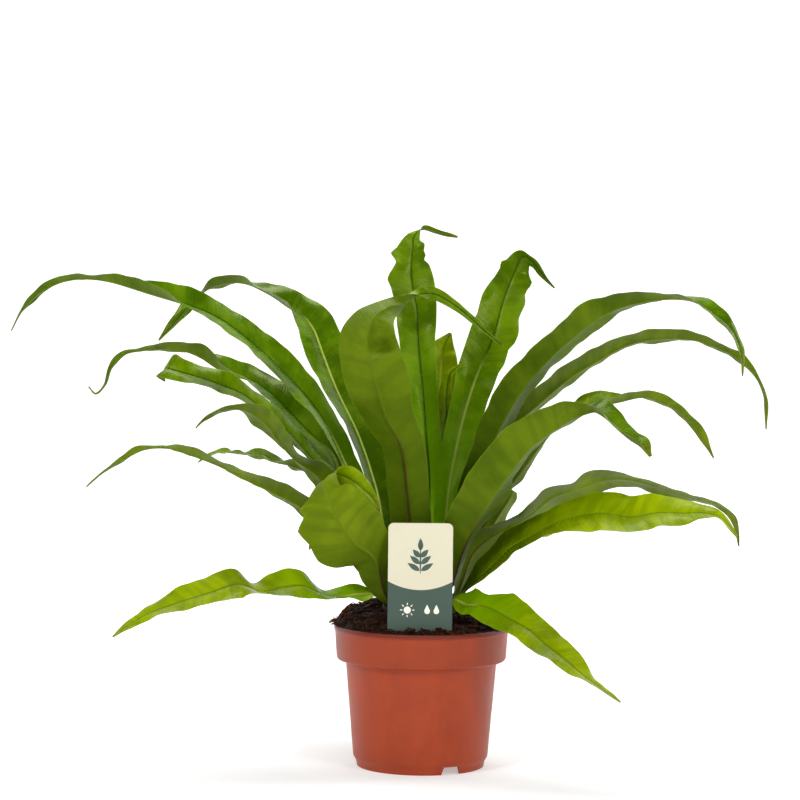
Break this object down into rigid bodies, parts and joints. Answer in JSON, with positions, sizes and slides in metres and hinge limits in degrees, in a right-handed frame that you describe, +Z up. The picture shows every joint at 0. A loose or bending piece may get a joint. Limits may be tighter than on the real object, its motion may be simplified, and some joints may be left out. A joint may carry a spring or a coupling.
{
  "type": "potted bird's nest fern",
  "caption": "Fern with long narrow waved fronds arching from a short crown, in soil in a tapered round plastic nursery pot with a plain plant tag.",
  "frame": {"origin": "centre of the pot's underside, on the surface that the pot stands on", "axes": "+Z up along the pot's axis, -Y to the front where the plant tag stands, +X to the viewer's right, along the widest spread of the fronds"},
  "size_m": [0.5157, 0.3043, 0.371],
  "materials": {
    "terracotta_plastic": "satin moulded plastic",
    "peat_soil": "rough, crumbly, moist",
    "crown_scales": "rough, scaly",
    "tag_card": "smooth printed card",
    "frond_green": "glossy waxy leaf",
    "frond_pale": "glossy waxy leaf"
  },
  "bodies": {
    "root": {"pot": "terracotta_plastic", "soil": "peat_soil", "crown": "crown_scales", "plant_tag": "tag_card", "frond_far_left": "frond_green", "frond_upper_left": "frond_green", "frond_left_curled": "frond_green", "frond_left_blunt": "frond_green", "frond_left_short": "frond_green", "frond_left_wavy": "frond_green", "frond_left_low": "frond_green", "frond_lower_left": "frond_pale", "frond_front_short": "frond_green", "frond_front_centre": "frond_green", "frond_tall_centre": "frond_green", "frond_tall_right": "frond_green", "frond_back_small": "frond_green", "frond_young_curl": "frond_green", "frond_right_long": "frond_green", "frond_right_long_lower": "frond_green", "frond_front_right_broad": "frond_green", "frond_right_behind": "frond_green", "frond_right_wavy": "frond_green", "frond_right_yellow": "frond_pale", "frond_lower_right": "frond_pale", "frond_right_pale": "frond_green", "frond_back_right_low": "frond_green", "frond_back_right": "frond_green", "frond_back_left": "frond_green", "frond_back_left_low": "frond_green", "frond_left_back_short": "frond_green"}
  },
  "joints": []
}
